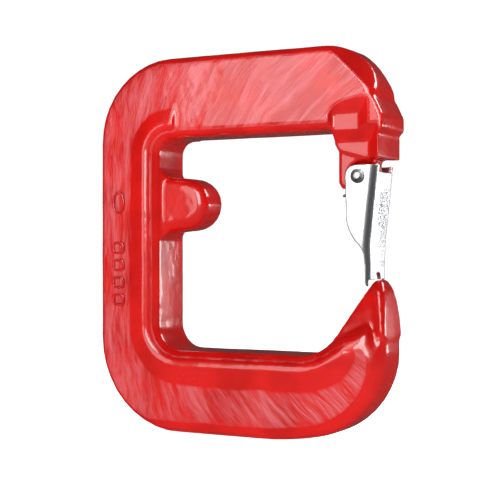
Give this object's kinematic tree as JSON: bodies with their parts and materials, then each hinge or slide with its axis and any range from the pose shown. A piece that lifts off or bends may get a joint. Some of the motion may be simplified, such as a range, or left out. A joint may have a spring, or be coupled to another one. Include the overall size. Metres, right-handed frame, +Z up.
{
  "type": "beam clamp",
  "caption": "Forged C-shaped lifting clamp with a sprung stamped latch closing its mouth; hangs by the top bar and holds a beam edge, bar or sling in its eye.",
  "frame": {"origin": "middle of the overall box, on the forging's parting plane", "axes": "+Z up along the spine, towards the top bar; +X from the spine to the mouth; +Y through the frame's thickness"},
  "size_m": [0.167, 0.0364, 0.201],
  "materials": {
    "red_enamel": "glossy baked enamel over a forged surface",
    "zinc_plate": "bright zinc plate on stamped sheet",
    "rivet_steel": "plated rivet",
    "spring_steel": "drawn spring wire"
  },
  "bodies": {
    "frame": {"forged_frame": "red_enamel", "latch_spring": "spring_steel"},
    "latch": {"safety_latch": "zinc_plate", "latch_pivot_pin": "rivet_steel"}
  },
  "joints": [
    {"name": "latch_swing", "type": "hinge", "parent": "frame", "child": "latch", "pos_m": [0.0699, 0, 0.0342], "axis": [0, 1, 0], "range_deg": [0, 75], "stiffness_Nm_per_rad": 0.3, "springref_deg": -45.84, "deforming": ["latch_spring"]}
  ]
}
